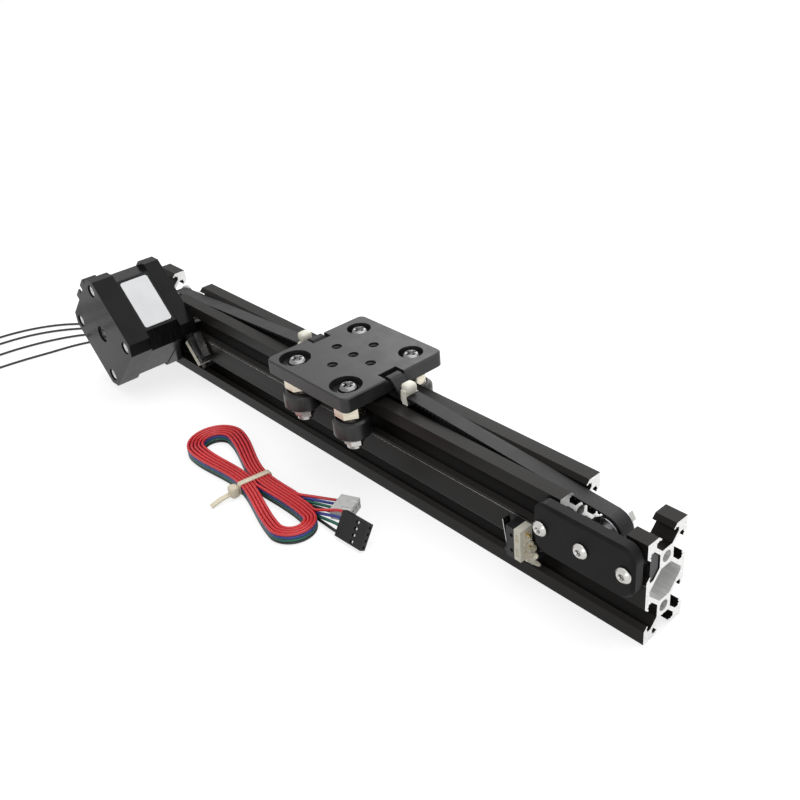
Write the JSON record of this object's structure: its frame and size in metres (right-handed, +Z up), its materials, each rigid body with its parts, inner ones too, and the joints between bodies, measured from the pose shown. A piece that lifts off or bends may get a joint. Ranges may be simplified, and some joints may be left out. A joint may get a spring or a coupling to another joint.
{
  "type": "belt driven linear axis",
  "caption": "Short linear axis: a toothed belt and stepping motor pull a V-wheeled carriage along a slotted rail between two lever switches.",
  "frame": {"origin": "middle of the rail's underside, on the centre line of its bottom slot, half way along its length", "axes": "+X along the rail towards the idler, +Z up through the carriage's plate, -Y towards the motor's side"},
  "size_m": [0.3866, 0.1241, 0.057],
  "materials": {
    "black_anodised": "satin black anodised",
    "plate_black": "fine matt black anodised",
    "motor_black": "satin black coating",
    "laminations": "blackened laminated steel",
    "copper": "enamelled copper wire",
    "label": "blank satin label",
    "black_plastic": "moulded",
    "gold_pins": "plated",
    "black_steel": "black oxide",
    "bright_steel": "bright plated",
    "bearing_steel": "ground",
    "pulley_alloy": "machined",
    "belt_rubber": "matt moulded",
    "warm_alloy": "turned",
    "wheel_black": "turned acetal",
    "nylon": "translucent nylon",
    "cream_plastic": "moulded",
    "red_plastic": "moulded",
    "glue": "hot melt",
    "black_wire": "soft sheath",
    "ribbon_wire": "soft coloured sheaths",
    "white_plastic": "moulded"
  },
  "bodies": {
    "root": {"rail": "black_anodised", "motor_front_cap": "motor_black", "motor_stator": "laminations", "motor_windings": "copper", "motor_rear_cap": "motor_black", "motor_label": "label", "motor_socket": "black_plastic", "motor_socket_pins": "gold_pins", "motor_screws": "black_steel", "motor_bearings": "bearing_steel", "belt": "belt_rubber", "idler_plate": "plate_black", "idler_plate_screws": "bright_steel", "idler_tee_nuts": "bright_steel", "idler_axle_screw": "bright_steel", "idler_spacers": "pulley_alloy", "idler_axle_nut": "bright_steel", "idler_inner_rings": "bearing_steel", "idler_switch_cover": "black_plastic", "motor_switch_cover": "black_plastic", "idler_switch_base": "cream_plastic", "motor_switch_base": "cream_plastic", "switch_terminals": "gold_pins", "glue_beads": "glue", "slot_leads": "black_wire", "lead_1": "black_wire", "lead_2": "black_wire", "lead_3": "black_wire", "lead_4": "black_wire", "cable_hank": "ribbon_wire", "cable_tails": "ribbon_wire", "hank_tie": "nylon", "cable_white_plug": "white_plastic", "cable_black_plug": "black_plastic"},
    "rotor": {"motor_shaft": "bearing_steel", "motor_rotor": "laminations", "drive_pulley": "pulley_alloy", "pulley_grub_screws": "black_steel"},
    "idler": {"idler_outer_rings": "bearing_steel"},
    "carriage": {"carriage_plate": "plate_black", "wheel_screws": "bright_steel", "eccentric_spacers": "bright_steel", "plain_spacers": "warm_alloy", "wheel_shims": "bright_steel", "wheel_inner_rings": "bearing_steel", "wheel_nuts": "bright_steel", "belt_ends": "belt_rubber", "belt_ties": "nylon"},
    "near_left_wheel": {"near_left_wheel": "wheel_black", "near_left_rings": "bearing_steel"},
    "near_right_wheel": {"near_right_wheel": "wheel_black", "near_right_rings": "bearing_steel"},
    "far_left_wheel": {"far_left_wheel": "wheel_black", "far_left_rings": "bearing_steel"},
    "far_right_wheel": {"far_right_wheel": "wheel_black", "far_right_rings": "bearing_steel"},
    "idler_lever": {"idler_switch_lever": "bright_steel"},
    "idler_button": {"idler_switch_button": "red_plastic"},
    "motor_lever": {"motor_switch_lever": "bright_steel"},
    "motor_button": {"motor_switch_button": "red_plastic"}
  },
  "joints": [
    {"name": "carriage_slide", "type": "slide", "parent": "root", "child": "carriage", "axis": [1, 0, 0], "range_m": [-0.077, 0.072]},
    {"name": "rotor_turn", "type": "hinge", "parent": "root", "child": "rotor", "pos_m": [-0.1282, 0, 0.03], "axis": [0, 1, 0], "continuous": true},
    {"name": "idler_turn", "type": "hinge", "parent": "root", "child": "idler", "pos_m": [0.1342, 0, 0.03], "axis": [0, 1, 0], "continuous": true},
    {"name": "near_left_wheel_turn", "type": "hinge", "parent": "carriage", "child": "near_left_wheel", "pos_m": [-0.009, -0.016, 0.03], "axis": [0, 0, 1], "continuous": true},
    {"name": "near_right_wheel_turn", "type": "hinge", "parent": "carriage", "child": "near_right_wheel", "pos_m": [0.023, -0.016, 0.03], "axis": [0, 0, 1], "continuous": true},
    {"name": "far_left_wheel_turn", "type": "hinge", "parent": "carriage", "child": "far_left_wheel", "pos_m": [-0.009, 0.016, 0.03], "axis": [0, 0, 1], "continuous": true},
    {"name": "far_right_wheel_turn", "type": "hinge", "parent": "carriage", "child": "far_right_wheel", "pos_m": [0.023, 0.016, 0.03], "axis": [0, 0, 1], "continuous": true},
    {"name": "idler_lever_press", "type": "hinge", "parent": "root", "child": "idler_lever", "pos_m": [0.10175, -0.0129, 0.0125], "axis": [0, 1, 0], "range_deg": [0, 7], "stiffness_Nm_per_rad": 0.003},
    {"name": "idler_button_press", "type": "slide", "parent": "root", "child": "idler_button", "axis": [1, 0, 0], "range_m": [0, 0.0005]},
    {"name": "motor_lever_press", "type": "hinge", "parent": "root", "child": "motor_lever", "pos_m": [-0.09085, -0.0129, 0.01874], "axis": [0, -1, 0], "range_deg": [0, 16], "stiffness_Nm_per_rad": 0.003},
    {"name": "motor_button_press", "type": "slide", "parent": "root", "child": "motor_button", "axis": [-0.7431, 0, -0.6691], "range_m": [0, 0.0012]}
  ],
  "couplings": [
    {"joint": "rotor_turn", "follows": "carriage_slide", "rad_per_m": 157.08},
    {"joint": "idler_turn", "follows": "carriage_slide", "rad_per_m": 166.56},
    {"joint": "near_left_wheel_turn", "follows": "carriage_slide", "rad_per_m": 144.93},
    {"joint": "near_right_wheel_turn", "follows": "carriage_slide", "rad_per_m": 144.93},
    {"joint": "far_left_wheel_turn", "follows": "carriage_slide", "rad_per_m": -144.93},
    {"joint": "far_right_wheel_turn", "follows": "carriage_slide", "rad_per_m": -144.93},
    {"joint": "idler_button_press", "follows": "idler_lever_press", "m_per_rad": 0.00372},
    {"joint": "motor_button_press", "follows": "motor_lever_press", "m_per_rad": 0.00405}
  ]
}
